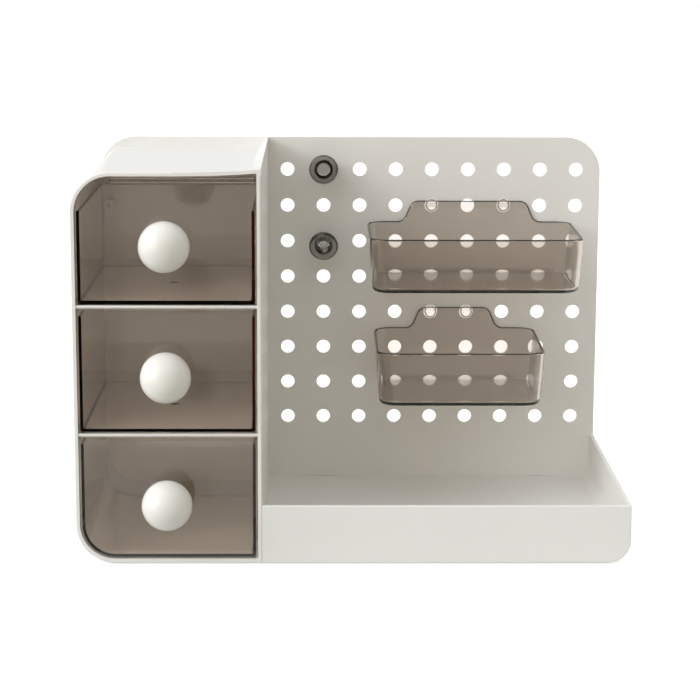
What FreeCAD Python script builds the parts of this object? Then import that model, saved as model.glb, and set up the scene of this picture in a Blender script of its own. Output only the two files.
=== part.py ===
"""Pegboard desk organizer with drawers.

A desk organizer of white moulded plastic.  On the left stands a cabinet with three drawers of smoky
clear plastic and white ball knobs.  On the right a low tray lies in front of a pegboard that carries
two clear baskets and two clear pegs.

Millimetres, +Z up, -Y towards the user, +X to the user's right.  The origin is the bottom centre of
the whole object's box, knobs and hooks included.
"""
import FreeCAD
import Part
import math
import os

Vector = FreeCAD.Vector

# ---- driving dimensions ------------------------------------------------------------------------

# rubber feet
FOOT_D = 12.0              # diameter of a foot
FOOT_STAND = 1.0           # how far a foot stands out under the mouldings
FOOT_SINK = 1.0            # how deep a foot sits in its pocket
FOOT_EDGE = 22.0           # foot centre to the front or rear edge of the mouldings
FOOT_SIDE = 31.0           # foot centre to the left or right edge

# cabinet
BAYS = 3                   # drawer bays, one above the other
BAY_H = 77.6               # clear height of a bay
CABINET_W = 115.4          # outer width
BODY_D = 193.5             # front plane to the front face of the rear panel
WALL = 2.5                 # side wall
BASE_T = 3.0               # bottom wall
TOP_T = 2.2                # top wall
TOP_LIFT = 1.1             # extra height of the top bay at the front
TOP_FALL = 3.5             # the top wall falls by this much towards the rear
TOP_RISE = 1.9             # and rises by this much towards its right end at the front
TOP_BEND = 52.7            # distance from the right end over which it rises
RIM_W = 6.0                # rim beside the right wall, which rises to the panel's top at the rear
RIM_DROP = 0.4             # end of the rim under the panel's top
CABINET_R = 24.5           # outer radius of the two left corners
SHELL_CORNER_R = 1.5       # inner radius of the two right corners
SHELF_T = 2.4              # shelf between two bays
GROOVE = 1.0               # depth of the grooves that hold a shelf
EDGE_R = 0.7               # softened outer edges of the mouldings

# tray
TRAY_W = 230.0             # cabinet wall to the right edge
TRAY_H = 36.8              # height of the front lip and the right wall
TRAY_FLOOR_Z = 6.2         # top of the floor above the underside of the mouldings
TRAY_FLOOR_T = 2.4         # floor thickness
TRAY_R = 14.3              # outer radius of the bottom right corner
TRAY_INNER_R = 8.0         # inner radius between floor and right wall
TRAY_SKIRT = 17.0          # solid strip under the right wall, beside the hollow underside
FOOT_POST_D = 17.0         # post under the tray floor that holds a foot

# rear panel with the pegboard
PANEL_T = 2.4              # thickness
PANEL_RISE = 3.5           # height of the panel above the cabinet top
PANEL_R = 24.0             # radius of the two top corners
PITCH = 25.0               # hole pitch, both ways
HOLE_D = 9.5               # peg hole diameter
COLUMNS = 9                # holes side by side
ROWS = 8                   # holes one above the other
COLUMN_EDGE = 13.4         # cabinet wall to the first column
ROW_EDGE = 22.3            # top row to the top edge of the panel

# lugs of the tray floor in slots of the rear panel
LUG_W = 16.0               # width of a lug
LUG_EDGE = 40.0            # lug centre to the cabinet wall or the right edge
LUG_CLEAR = 0.2            # play of a lug in its slot, all round

# screws of the rear panel
PANEL_SCREW_D = 2.9        # thread
PANEL_SCREW_L = 11.0       # shank length under the head
PANEL_SCREW_HEAD_D = 5.6   # head diameter
PANEL_SCREW_HEAD_H = 2.0   # head height
BOSS_D = 7.6               # screw boss in the cabinet
BOSS_L = 16.0              # length of a boss
THREAD_CLEAR = 0.05        # play of a screw in its hole, all round
HOLE_CLEAR = 0.25          # play of a screw in a through hole, all round

# drawers
DRAWER_L = 145.0           # front face to back face
DRAWER_GAP = 0.4           # gap beside and above a drawer front
DRAWER_UNDER = 0.2         # gap under a drawer front
DRAWER_RECESS = 0.3        # drawer front behind the cabinet's front edges
FRONT_T = 2.5              # drawer front
BOX_T = 1.8                # drawer walls
BOX_FLOOR_T = 2.0          # drawer floor
BOX_INSET = 0.9            # drawer sides inside the edge of the front
BOX_LIFT = 0.3             # drawer underside above the front's lower edge
BEAD_H = 2.4               # turned-in bead along the top of the front
BEAD_L = 1.0               # depth of the bead behind the front
SIDE_DROP = 4.4            # front's top edge to the top of the drawer sides
TOP_SIDE_DROP = 20.0       # the same on the top drawer, whose corner is rounded

# knobs
KNOB_D = 31.0              # ball diameter
KNOB_SEAT_D = 12.0         # flat face of the ball on the drawer front
KNOB_DROP = 1.0            # knob centre below the middle of the bay
KNOB_THREAD_L = 12.0       # depth of the threaded hole in the ball
KNOB_SCREW_D = 4.0         # screw thread
KNOB_SCREW_GRIP = 9.0      # thread length inside the ball
KNOB_SCREW_HEAD_D = 7.6    # screw head diameter
KNOB_SCREW_HEAD_H = 2.4    # screw head height
SLOT_W = 1.0               # width of the bars of a cross recess
SLOT_H = 1.2               # depth of a cross recess
WASHER_D = 9.0             # washer diameter
WASHER_T = 0.8             # washer thickness

# baskets
BASKET_WIDE_W = 142.0      # rim width of the wide basket
BASKET_WIDE_H = 37.0       # its underside to its rim
BASKET_WIDE_TAB = 79.0     # top width of its tab
BASKET_WIDE_FOOT = 91.0    # width of its tab at the rim
BASKET_WIDE_SHIFT = 1.0    # basket centre to the right of its two hooks' middle
BASKET_WIDE_SLOPE = 0.8    # how much lower its rim is at the front
BASKET_NARROW_W = 113.0    # rim width of the narrow basket
BASKET_NARROW_H = 38.2     # its underside to its rim
BASKET_NARROW_TAB = 48.0   # top width of its tab
BASKET_NARROW_FOOT = 60.0  # width of its tab at the rim
BASKET_NARROW_SHIFT = 4.0  # basket centre to the right of its two hooks' middle
BASKET_NARROW_SLOPE = 2.0  # how much lower its rim is at the front
BASKET_D = 88.0            # pegboard to the front of the rim
BASKET_BELOW = 11.0        # rim below the hole centres
BASKET_ABOVE = 3.4         # tab top above the hole centres
BASKET_T = 1.8             # basket walls
BASKET_FLOOR_T = 2.0       # basket floor
BASKET_DRAFT = 2.4         # how far each side leans in from rim to underside
BASKET_R = 12.0            # radius of the upright corners at the rim
BASKET_BOTTOM_R = 2.6      # radius between the sides and the underside
BASKET_GAP = 0.4           # basket back to the pegboard
SHOULDER_R = 6.5           # radius of the tab's shoulders
PAD_L = 6.0                # small standing pads under a basket
PAD_W = 1.4
PAD_H = 0.8
PAD_EDGE_X = 18.5          # pad centre to the rim's side
PAD_EDGE_FRONT = 22.0      # pad centre to the rim's front
PAD_EDGE_BACK = 9.0        # pad centre to the back
HOOK_D = 8.6               # hook diameter
HOOK_BORE_D = 6.2          # hooks are hollow behind the tab
HOOK_REACH = 5.0           # how far a hook reaches behind the panel
HOOK_TILT = 12.0           # hooks slope down to the rear by this angle, degrees
HOOK_DROP = 0.08           # hook axis below the hole centre, so that it rests on the hole's edge

# pegs
PEG_HEAD_D = 20.0          # round head
PEG_HEAD_T = 4.0           # head thickness
PEG_HEAD_R = 1.9           # rounded rim of the head
PEG_NECK_D = 12.5          # neck between head and pegboard
PEG_L = 14.0               # head face to pegboard
PEG_BORE_D = 8.4           # blind bore in the head's face
PEG_BORE_L = 11.0          # depth of the bore
PEG_PLUG_D = 8.2           # plug in the hole
PEG_REACH = 3.2            # how far the plug reaches behind the panel
PEG_SEAT = 0.3             # neck to pegboard
PEG_DROOP = 8.0            # how far the lower peg hangs down, degrees
PEG_LIFT = 4.8             # how far the upper peg points up, degrees

# ---- places worked out from the dimensions -----------------------------------------------------

BODY_W = CABINET_W + TRAY_W
CABINET_H = BASE_T + BAYS * BAY_H + (BAYS - 1) * SHELF_T + TOP_LIFT + TOP_T
KNOB_R = KNOB_D / 2
KNOB_CENTRE = math.sqrt(KNOB_R ** 2 - (KNOB_SEAT_D / 2) ** 2)

KNOB_REACH = KNOB_CENTRE + KNOB_R - DRAWER_RECESS
TOTAL_D = KNOB_REACH + BODY_D + PANEL_T + HOOK_REACH

LEFT = -BODY_W / 2
MIDDLE = LEFT + CABINET_W          # outer face of the cabinet's right wall
RIGHT = BODY_W / 2
FRONT = -TOTAL_D / 2 + KNOB_REACH  # front plane of the mouldings
BACK = FRONT + BODY_D              # front face of the rear panel
REAR = BACK + PANEL_T              # rear face of the rear panel
BASE = FOOT_STAND                  # underside of the mouldings
CABINET_TOP = BASE + CABINET_H
PANEL_TOP = CABINET_TOP + PANEL_RISE
BEND = MIDDLE - TOP_BEND           # where the top wall starts to rise
INNER_R = CABINET_R - WALL
FIRST_COLUMN = MIDDLE + COLUMN_EDGE
TOP_ROW = PANEL_TOP - ROW_EDGE
DRAWER_FRONT = FRONT + DRAWER_RECESS


def bay_floor(bay):
    """Height of a bay's floor, counted from the bottom bay as 0."""
    return BASE + BASE_T + bay * (BAY_H + SHELF_T)


def hole_x(column):
    """Centre of a hole column, counted from the left as 1."""
    return FIRST_COLUMN + (column - 1) * PITCH


def hole_z(row):
    """Centre of a hole row, counted from the top as 1."""
    return TOP_ROW - (row - 1) * PITCH


# ---- shape helpers -----------------------------------------------------------------------------

def upright(y):
    """Places a flat (x, z) outline in the plane at y."""
    return lambda x, z: Vector(x, y, z)


def level(z):
    """Places a flat (x, y) outline in the plane at z."""
    return lambda x, y: Vector(x, y, z)


def outline(corners, place):
    """Closed wire through (u, v, radius) corners, each turned by a tangent arc of its radius."""
    turns = []
    for i, (u, v, radius) in enumerate(corners):
        here = Vector(u, v, 0)
        back = (Vector(*corners[i - 1][:2], 0) - here).normalize()
        ahead = (Vector(*corners[(i + 1) % len(corners)][:2], 0) - here).normalize()
        if radius <= 0:
            turns.append((here, None, here))
            continue
        half = back.getAngle(ahead) / 2
        inward = (back + ahead).normalize()
        start = here + back * (radius / math.tan(half))
        end = here + ahead * (radius / math.tan(half))
        middle = here + inward * (radius / math.sin(half) - radius)
        turns.append((start, middle, end))
    edges = []
    for i, (start, middle, end) in enumerate(turns):
        if middle is not None:
            arc = Part.Arc(place(start.x, start.y), place(middle.x, middle.y), place(end.x, end.y))
            edges.append(arc.toShape())
        following = turns[(i + 1) % len(turns)][0]
        edges.append(Part.makeLine(place(end.x, end.y), place(following.x, following.y)))
    return Part.Wire(edges)


def slab(corners, y, depth):
    """Solid of an upright outline, from y towards the rear."""
    return Part.Face(outline(corners, upright(y))).extrude(Vector(0, depth, 0))


def box(x0, y0, z0, x1, y1, z1):
    return Part.makeBox(x1 - x0, y1 - y0, z1 - z0, Vector(x0, y0, z0))


def rod(diameter, x, y0, y1, z):
    """Cylinder along Y from y0 to y1."""
    return Part.makeCylinder(diameter / 2, y1 - y0, Vector(x, y0, z), Vector(0, 1, 0))


def edges_where(shape, test):
    """Edges whose middle point passes the test."""
    chosen = []
    for edge in shape.Edges:
        first, last = edge.ParameterRange
        if test(edge.valueAt((first + last) / 2)):
            chosen.append(edge)
    return chosen


def save(name, shape):
    shape = shape.removeSplitter()
    shape.exportStep(os.path.join("parts", name + ".step"))
    print("%-20s solids %d  valid %s  volume %.1f"
          % (name, len(shape.Solids), shape.isValid(), shape.Volume))


# ---- cabinet -----------------------------------------------------------------------------------

def boss_places():
    """Centres of the four screw bosses, beside the side walls of the top and bottom bays."""
    inset = WALL + BOSS_D / 2 - THREAD_CLEAR
    heights = (bay_floor(0) + BAY_H / 2, bay_floor(BAYS - 1) + BAY_H / 2)
    return [(x, z) for x in (LEFT + inset, MIDDLE - inset) for z in heights]


def foot_places():
    """Centres of the four feet: two under the cabinet, two under the tray."""
    sides = {"left": LEFT + FOOT_SIDE, "right": RIGHT - FOOT_SIDE}
    ends = {"front": FRONT + FOOT_EDGE, "rear": BACK - FOOT_EDGE}
    return {side + "_" + end: (x, y) for side, x in sides.items() for end, y in ends.items()}


def foot_pocket(x, y):
    return Part.makeCylinder(FOOT_D / 2, FOOT_SINK, Vector(x, y, BASE))


def above(front_line, rear_line):
    """Everything above a surface that runs from one line at the front to another at the rear."""
    wires = []
    for y, line in ((FRONT, front_line), (BACK, rear_line)):
        points = [Vector(x, y, z) for x, z in line]
        points += [Vector(points[-1].x, y, PANEL_TOP + TOP_T), Vector(points[0].x, y, PANEL_TOP + TOP_T)]
        wires.append(Part.makePolygon(points + points[:1]))
    return Part.makeLoft(wires, True, True)


def top_line(lift):
    """Front edge of the top wall's upper face: level, then bent up to the right."""
    top = CABINET_TOP + lift
    return [(LEFT, top), (BEND, top), (MIDDLE - TOP_BEND / 2, top + TOP_RISE / 4),
            (MIDDLE - RIM_W, top + TOP_RISE * 0.8), (MIDDLE, top + TOP_RISE)]


def cabinet_shell():
    outer = [(LEFT, BASE, CABINET_R), (MIDDLE, BASE, 0),
             (MIDDLE, CABINET_TOP, 0), (LEFT, CABINET_TOP, CABINET_R)]
    floor, ceiling = BASE + BASE_T, CABINET_TOP - TOP_T
    inner = [(LEFT + WALL, floor, INNER_R), (MIDDLE - WALL, floor, SHELL_CORNER_R),
             (MIDDLE - WALL, ceiling, 0), (LEFT + WALL, ceiling, INNER_R)]
    raised = [(BEND, ceiling, 0), (MIDDLE, ceiling, 0), (MIDDLE, PANEL_TOP, 0), (BEND, PANEL_TOP, 0)]
    raised_inside = [(BEND, ceiling - WALL, 0), (MIDDLE - WALL, ceiling - WALL, 0),
                     (MIDDLE - WALL, PANEL_TOP, 0), (BEND, PANEL_TOP, 0)]
    rear = CABINET_TOP - TOP_FALL
    upper = above(top_line(0), [(LEFT, rear), (BEND, rear), (MIDDLE - TOP_BEND / 2, rear),
                                (MIDDLE - RIM_W, rear), (MIDDLE, PANEL_TOP - RIM_DROP)])
    lower = above(top_line(-TOP_T), [(x, rear - TOP_T) for x, _ in top_line(0)])
    shell = slab(outer, FRONT, BODY_D)
    shell = shell.makeFillet(EDGE_R, edges_where(shell, lambda p: p.y < FRONT + EDGE_R and p.z < ceiling))
    shell = shell.fuse(slab(raised, FRONT, BODY_D)).cut(upper)
    hollow = slab(inner, FRONT, BODY_D).fuse(slab(raised_inside, FRONT, BODY_D)).cut(lower)
    shell = shell.cut(hollow)
    for x, z in boss_places():
        shell = shell.fuse(rod(BOSS_D, x, BACK - BOSS_L, BACK, z))
        shell = shell.cut(rod(PANEL_SCREW_D + 2 * THREAD_CLEAR, x, BACK - BOSS_L, BACK, z))
    for bay in range(1, BAYS):
        shell = shell.cut(shelf(bay))
    for name, (x, y) in foot_places().items():
        if name.startswith("left"):
            shell = shell.cut(foot_pocket(x, y))
    return shell


def shelf(bay):
    """Shelf under the given bay, held in grooves in both side walls."""
    top = bay_floor(bay)
    return box(LEFT + WALL - GROOVE, FRONT + EDGE_R / 2, top - SHELF_T, MIDDLE - WALL + GROOVE, BACK, top)


# ---- tray --------------------------------------------------------------------------------------

def lug_places():
    return MIDDLE + LUG_EDGE, RIGHT - LUG_EDGE


def lug(x, play):
    """Lug that carries the tray floor on through the rear panel, with play all round."""
    top = BASE + TRAY_FLOOR_Z
    return box(x - LUG_W / 2 - play, BACK, top - TRAY_FLOOR_T - play, x + LUG_W / 2 + play, REAR, top + play)


def tray_base():
    top = BASE + TRAY_H
    floor = BASE + TRAY_FLOOR_Z
    outer = [(MIDDLE, BASE, 0), (RIGHT, BASE, TRAY_R), (RIGHT, top, 0), (MIDDLE, top, 0)]
    inner = [(MIDDLE, floor, 0), (RIGHT - WALL, floor, TRAY_INNER_R),
             (RIGHT - WALL, top, 0), (MIDDLE, top, 0)]
    tray = slab(outer, FRONT, BODY_D)
    rim = edges_where(tray, lambda p: p.y < FRONT + EDGE_R and p.x > MIDDLE + EDGE_R)
    tray = tray.makeFillet(EDGE_R, rim)
    tray = tray.cut(slab(inner, FRONT + WALL, BODY_D - WALL))
    tray = tray.cut(box(MIDDLE, FRONT + WALL, BASE, RIGHT - TRAY_SKIRT, BACK, floor - TRAY_FLOOR_T))
    for name, (x, y) in foot_places().items():
        if name.startswith("right"):
            post = Part.makeCylinder(FOOT_POST_D / 2, TRAY_FLOOR_Z - TRAY_FLOOR_T, Vector(x, y, BASE))
            tray = tray.fuse(post).cut(foot_pocket(x, y))
    return tray.fuse([lug(x, 0) for x in lug_places()])


def foot(x, y):
    return Part.makeCylinder(FOOT_D / 2, FOOT_SINK + FOOT_STAND, Vector(x, y, 0))


# ---- rear panel --------------------------------------------------------------------------------

def rear_panel():
    corners = [(LEFT, BASE, CABINET_R), (RIGHT, BASE, TRAY_R),
               (RIGHT, PANEL_TOP, PANEL_R), (LEFT, PANEL_TOP, PANEL_R)]
    panel = slab(corners, BACK, PANEL_T)

    def rounded(point):
        in_sight = point.z > PANEL_TOP - PANEL_R or point.x > RIGHT - TRAY_R
        return point.y > REAR - EDGE_R or (point.y < BACK + EDGE_R and in_sight)

    panel = panel.makeFillet(EDGE_R, edges_where(panel, rounded))
    holes = [rod(HOLE_D, hole_x(column), BACK, REAR, hole_z(row))
             for column in range(1, COLUMNS + 1) for row in range(1, ROWS + 1)]
    holes += [rod(PANEL_SCREW_D + 2 * HOLE_CLEAR, x, BACK, REAR, z) for x, z in boss_places()]
    panel = panel.cut(Part.makeCompound(holes))
    return panel.cut([lug(x, LUG_CLEAR) for x in lug_places()])


def cross_recess(x, y, z, size, depth):
    """Cross-shaped cutter that opens at y and reaches depth towards the front."""
    wide = box(x - size / 2, y - depth, z - SLOT_W / 2, x + size / 2, y, z + SLOT_W / 2)
    tall = box(x - SLOT_W / 2, y - depth, z - size / 2, x + SLOT_W / 2, y, z + size / 2)
    return wide.fuse(tall)


def pan_screw(x, z, y, shank_d, shank_l, head_d, head_h):
    """Pan-head screw whose head rests on the face at y and whose shank runs to the front."""
    head = rod(head_d, x, y, y + head_h, z)
    head = head.makeFillet(head_h / 2, edges_where(head, lambda p: p.y > y + head_h - SLOT_W / 2))
    screw = head.fuse(rod(shank_d, x, y - shank_l, y, z))
    return screw.cut(cross_recess(x, y + head_h, z, head_d / 2, SLOT_H))


def rear_panel_screws():
    screws = [pan_screw(x, z, REAR, PANEL_SCREW_D, PANEL_SCREW_L, PANEL_SCREW_HEAD_D, PANEL_SCREW_HEAD_H)
              for x, z in boss_places()]
    return Part.makeCompound(screws)


# ---- drawers -----------------------------------------------------------------------------------

def knob_place(bay):
    """Centre line of a drawer's knob."""
    x = (LEFT + MIDDLE) / 2
    return x, bay_floor(bay) + BAY_H / 2 - KNOB_DROP


def drawer(bay):
    """Drawer of one bay: front with a bead, floor, two sides and a back, in one piece."""
    x0, x1 = LEFT + WALL + DRAWER_GAP, MIDDLE - WALL - DRAWER_GAP
    z0, z1 = bay_floor(bay) + DRAWER_UNDER, bay_floor(bay) + BAY_H - DRAWER_GAP
    small = SHELL_CORNER_R - DRAWER_GAP
    large = INNER_R - DRAWER_GAP
    low_r = large if bay == 0 else small
    high_r = large if bay == BAYS - 1 else small
    if bay == BAYS - 1:
        upper = [(x, z - TOP_T - DRAWER_GAP) for x, z in top_line(0)]
        corners = [(x1, upper[-1][1], small)] + [(x, z, 0) for x, z in reversed(upper[1:-1])]
        corners.append((x0, upper[0][1], high_r))
    else:
        corners = [(x1, z1, small), (x0, z1, high_r)]
    front = slab([(x0, z0, low_r), (x1, z0, small)] + corners, DRAWER_FRONT, FRONT_T)

    behind = DRAWER_FRONT + FRONT_T
    end = DRAWER_FRONT + DRAWER_L
    side_top = z1 - (TOP_SIDE_DROP if bay == BAYS - 1 else SIDE_DROP)
    b0, b1, under = x0 + BOX_INSET, x1 - BOX_INSET, z0 + BOX_LIFT
    box_r = large - BOX_INSET if bay == 0 else small
    body = slab([(b0, under, box_r), (b1, under, small), (b1, side_top, 0), (b0, side_top, 0)],
                behind, end - behind)
    h0, h1, floor = b0 + BOX_T, b1 - BOX_T, under + BOX_FLOOR_T
    hollow_r = max(box_r - BOX_T, small)
    hollow = slab([(h0, floor, hollow_r), (h1, floor, small), (h1, side_top, 0), (h0, side_top, 0)],
                  behind, end - BOX_T - behind)
    bead_start = x0 + high_r if bay == BAYS - 1 else b0
    bead = box(bead_start, behind, z1 - BEAD_H, b1, behind + BEAD_L, z1)
    x, z = knob_place(bay)
    screw_hole = rod(KNOB_SCREW_D + 2 * HOLE_CLEAR, x, DRAWER_FRONT, behind, z)
    return front.fuse([body.cut(hollow), bead]).cut(screw_hole)


def knob(bay):
    """Ball with a flat seat on the drawer front and a threaded blind hole."""
    x, z = knob_place(bay)
    ball = Part.makeSphere(KNOB_R, Vector(x, DRAWER_FRONT - KNOB_CENTRE, z))
    keep = box(x - KNOB_D, DRAWER_FRONT - 2 * KNOB_D, z - KNOB_D, x + KNOB_D, DRAWER_FRONT, z + KNOB_D)
    thread = rod(KNOB_SCREW_D + 2 * THREAD_CLEAR, x, DRAWER_FRONT - KNOB_THREAD_L, DRAWER_FRONT, z)
    return ball.common(keep).cut(thread)


def knob_washer(bay):
    x, z = knob_place(bay)
    y = DRAWER_FRONT + FRONT_T
    ring = rod(WASHER_D, x, y, y + WASHER_T, z)
    return ring.cut(rod(KNOB_SCREW_D + 2 * HOLE_CLEAR, x, y, y + WASHER_T, z))


def knob_screw(bay):
    x, z = knob_place(bay)
    seat = DRAWER_FRONT + FRONT_T + WASHER_T
    length = FRONT_T + WASHER_T + KNOB_SCREW_GRIP
    return pan_screw(x, z, seat, KNOB_SCREW_D, length, KNOB_SCREW_HEAD_D, KNOB_SCREW_HEAD_H)


# ---- baskets -----------------------------------------------------------------------------------

def basket_ring(centre, width, back, front, radius, z):
    """Rounded rectangle in plan at height z."""
    x0, x1 = centre - width / 2, centre + width / 2
    corners = [(x0, front, radius), (x1, front, radius), (x1, back, radius), (x0, back, radius)]
    return outline(corners, level(z))


def basket(row, columns, shift, width, height, tab_w, tab_foot_w, slope):
    """Basket with leaning sides, a tab that rises at its back and two hooks through the pegboard."""
    hooks_x = [hole_x(column) for column in columns]
    centre = sum(hooks_x) / len(hooks_x) + shift
    rim = hole_z(row) - BASKET_BELOW
    base = rim - height
    back = BACK - BASKET_GAP
    front = BACK - BASKET_D
    lean = 2 * BASKET_DRAFT
    outer = Part.makeLoft([basket_ring(centre, width - lean, back, front + BASKET_DRAFT, BASKET_R, base),
                           basket_ring(centre, width, back, front, BASKET_R, rim)], True, True)
    outer = outer.makeFillet(BASKET_BOTTOM_R, edges_where(outer, lambda p: p.z < base + EDGE_R / 2))
    inner_r = BASKET_R - BASKET_T
    inner_w = width - 2 * BASKET_T
    floor = base + BASKET_FLOOR_T
    inner = Part.makeLoft([
        basket_ring(centre, inner_w - lean, back - BASKET_T, front + BASKET_DRAFT + BASKET_T, inner_r, floor),
        basket_ring(centre, inner_w, back - BASKET_T, front + BASKET_T, inner_r, rim)], True, True)
    inner = inner.makeFillet(BASKET_T, edges_where(inner, lambda p: p.z < floor + EDGE_R / 2))
    tab_top = hole_z(row) + BASKET_ABOVE
    flat_w = width - 2 * BASKET_R
    right_half = [(flat_w / 2, rim - BASKET_T, 0), (flat_w / 2, rim, 0),
                  (tab_foot_w / 2, rim, SHOULDER_R), (tab_w / 2, tab_top, SHOULDER_R)]
    tab = slab([(centre + u, v, radius) for u, v, radius in right_half] +
               [(centre - u, v, radius) for u, v, radius in reversed(right_half)], back - BASKET_T, BASKET_T)
    pieces = [tab]
    for x in hooks_x:
        pieces.append(hook(x, hole_z(row) - HOOK_DROP, back - BASKET_T / 2))
    for x in (centre - width / 2 + PAD_EDGE_X, centre + width / 2 - PAD_EDGE_X):
        for y in (front + PAD_EDGE_FRONT, back - PAD_EDGE_BACK):
            pieces.append(box(x - PAD_L / 2, y - PAD_W / 2, base - PAD_H, x + PAD_L / 2, y + PAD_W / 2, base))
    wedge = Part.makePolygon([Vector(centre - width, y, z) for y, z in (
        (back - BASKET_T, rim), (front - BASKET_T, rim - slope), (front - BASKET_T, rim + slope),
        (back - BASKET_T, rim))])
    sloping = Part.Face(wedge).extrude(Vector(2 * width, 0, 0))
    return outer.cut(inner).fuse(pieces).cut(sloping)


def hook(x, z, root):
    """Round hook that slopes down to the rear through the middle of the panel's thickness."""
    slope = math.radians(HOOK_TILT)
    along = Vector(0, math.cos(slope), -math.sin(slope))
    through = Vector(x, (BACK + REAR) / 2, z)
    start = through - along * ((through.y - root) / along.y)
    tip = through + along * ((REAR + HOOK_REACH - HOOK_D / 2 - through.y) / along.y)
    shaft = Part.makeCylinder(HOOK_D / 2, (tip - start).Length, start, along)
    flat_root = box(x - HOOK_D, root, z - HOOK_D, x + HOOK_D, REAR + HOOK_REACH, z + HOOK_D)
    pin = shaft.fuse(Part.makeSphere(HOOK_D / 2, tip)).common(flat_root)
    bore = Part.makeCylinder(HOOK_BORE_D / 2, BASKET_D, through - along * (PANEL_T / 2), along)
    return pin.cut(bore)


# ---- pegs --------------------------------------------------------------------------------------

def peg(column, row, droop):
    """Round clear peg, tilted in the pegboard's hole until its neck's rim is PEG_SEAT from the board."""
    x, z = hole_x(column), hole_z(row)
    face = BACK - PEG_L
    head = rod(PEG_HEAD_D, x, face, face + PEG_HEAD_T, z)
    head = head.makeFillet(PEG_HEAD_R, [edge for edge in head.Edges if len(edge.Vertexes) == 1])
    neck = rod(PEG_NECK_D, x, face + PEG_HEAD_T / 2, BACK - PEG_SEAT, z)
    plug = rod(PEG_PLUG_D, x, face + PEG_HEAD_T, REAR + PEG_REACH, z)
    bore = rod(PEG_BORE_D, x, face, face + PEG_BORE_L, z)
    whole = head.fuse([neck, plug]).cut(bore)
    whole.rotate(Vector(x, (BACK + REAR) / 2, z), Vector(1, 0, 0), droop)
    whole.translate(Vector(0, -PEG_NECK_D / 2 * math.sin(math.radians(abs(droop))), 0))
    return whole


# ---- all pieces --------------------------------------------------------------------------------

def main():
    os.makedirs("parts", exist_ok=True)
    save("cabinet_shell", cabinet_shell())
    save("shelf_lower", shelf(1))
    save("shelf_upper", shelf(2))
    save("tray_base", tray_base())
    save("rear_panel", rear_panel())
    save("rear_panel_screws", rear_panel_screws())
    for name, (x, y) in foot_places().items():
        save("foot_" + name, foot(x, y))
    for bay, name in enumerate(("bottom", "middle", "top")):
        save("drawer_" + name, drawer(bay))
        save("knob_" + name, knob(bay))
        save("knob_washer_" + name, knob_washer(bay))
        save("knob_screw_" + name, knob_screw(bay))
    save("basket_wide", basket(2, (5, 7), BASKET_WIDE_SHIFT, BASKET_WIDE_W, BASKET_WIDE_H,
                               BASKET_WIDE_TAB, BASKET_WIDE_FOOT, BASKET_WIDE_SLOPE))
    save("basket_narrow", basket(5, (5, 6), BASKET_NARROW_SHIFT, BASKET_NARROW_W, BASKET_NARROW_H,
                                 BASKET_NARROW_TAB, BASKET_NARROW_FOOT, BASKET_NARROW_SLOPE))
    save("peg_upper", peg(2, 1, -PEG_LIFT))
    save("peg_lower", peg(2, 3, PEG_DROOP))


main()
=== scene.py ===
"""Pegboard desk organizer with drawers: finishes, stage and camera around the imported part.

Laid out as an add-on: sizes and colours in property groups, one operator for each group of pieces,
and a panel that lists them. Run as a script, it builds everything in order.
"""

import math

import bmesh
import bpy
from bpy.props import FloatProperty, FloatVectorProperty, IntProperty, PointerProperty
from mathutils import Matrix, Vector


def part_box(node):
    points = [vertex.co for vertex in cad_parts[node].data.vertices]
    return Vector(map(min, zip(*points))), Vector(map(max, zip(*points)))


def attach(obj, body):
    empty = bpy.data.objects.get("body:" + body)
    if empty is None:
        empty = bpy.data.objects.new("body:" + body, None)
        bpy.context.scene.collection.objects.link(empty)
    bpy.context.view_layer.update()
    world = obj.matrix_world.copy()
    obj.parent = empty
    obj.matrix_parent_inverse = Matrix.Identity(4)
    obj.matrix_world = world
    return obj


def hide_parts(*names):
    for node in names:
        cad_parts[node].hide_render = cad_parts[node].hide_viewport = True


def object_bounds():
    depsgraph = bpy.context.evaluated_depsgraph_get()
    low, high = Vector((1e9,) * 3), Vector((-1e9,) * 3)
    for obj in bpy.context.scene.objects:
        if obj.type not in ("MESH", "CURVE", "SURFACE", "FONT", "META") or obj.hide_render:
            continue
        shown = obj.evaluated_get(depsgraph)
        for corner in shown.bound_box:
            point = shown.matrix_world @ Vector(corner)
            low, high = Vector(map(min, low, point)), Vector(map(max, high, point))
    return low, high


bl_info = {
    "name": "Pegboard desk organizer",
    "version": (1, 0, 0),
    "blender": (4, 5, 0),
    "location": "View3D > Sidebar > Organizer",
    "description": "Dresses the drawers, baskets, pegs and pegboard of a desk organizer",
    "category": "Add Mesh",
}

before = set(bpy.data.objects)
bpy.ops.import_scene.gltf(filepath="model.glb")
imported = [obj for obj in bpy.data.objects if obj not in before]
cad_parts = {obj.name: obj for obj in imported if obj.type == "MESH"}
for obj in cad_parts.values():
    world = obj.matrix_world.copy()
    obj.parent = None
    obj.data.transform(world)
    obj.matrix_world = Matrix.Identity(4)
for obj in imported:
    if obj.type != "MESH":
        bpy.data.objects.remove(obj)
CAD_LOW, CAD_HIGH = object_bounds()

MM = 0.001
PANEL_LOW, PANEL_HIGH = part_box("rear_panel")
DRAWERS = ("bottom", "middle", "top")
BASKETS = ("wide", "narrow")
PEGS = ("upper", "lower")


# ---- colour and nodes ---------------------------------------------------------------------------

def to_linear(code):
    """Linear colour of an sRGB hex code such as "#EDEAE4"."""
    channels = [int(code[i:i + 2], 16) / 255 for i in (1, 3, 5)]
    return tuple(c / 12.92 if c <= 0.04045 else ((c + 0.055) / 1.055) ** 2.4 for c in channels)


def add_node(tree, kind, inputs=None, **settings):
    """Adds a node. settings are its properties; inputs maps a socket to a value or to an output."""
    node = tree.nodes.new(kind)
    for name, value in settings.items():
        setattr(node, name, value)
    for socket, value in (inputs or {}).items():
        if isinstance(value, bpy.types.NodeSocket):
            tree.links.new(value, node.inputs[socket])
        else:
            node.inputs[socket].default_value = value
    return node


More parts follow.
